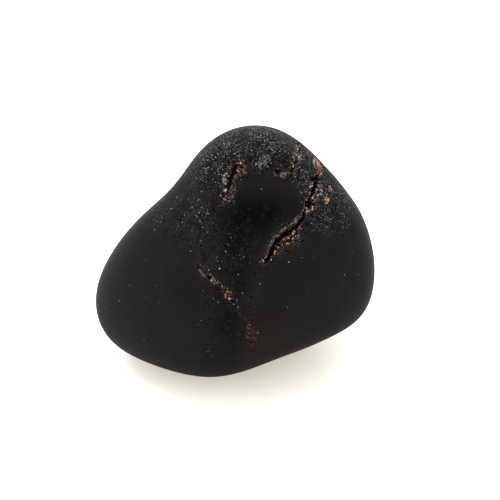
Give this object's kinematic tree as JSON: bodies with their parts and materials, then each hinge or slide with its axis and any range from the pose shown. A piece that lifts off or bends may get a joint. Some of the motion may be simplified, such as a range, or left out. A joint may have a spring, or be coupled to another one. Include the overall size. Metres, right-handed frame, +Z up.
{
  "type": "tumbled almandine garnet",
  "caption": "Rough tumbled garnet pebble: a lumpy rounded triangle with a dome, open cracks and pits, resting on a small flat spot.",
  "frame": {"origin": "centre of the bounding box's base, on the surface that the stone rests on", "axes": "+Z up, +X along the widest extent to the right in the picture's view, -Y toward the picture's viewer"},
  "size_m": [0.024, 0.0192, 0.0227],
  "materials": {
    "tumbled_almandine": "matt"
  },
  "bodies": {
    "root": {"garnet": "tumbled_almandine"}
  },
  "joints": []
}
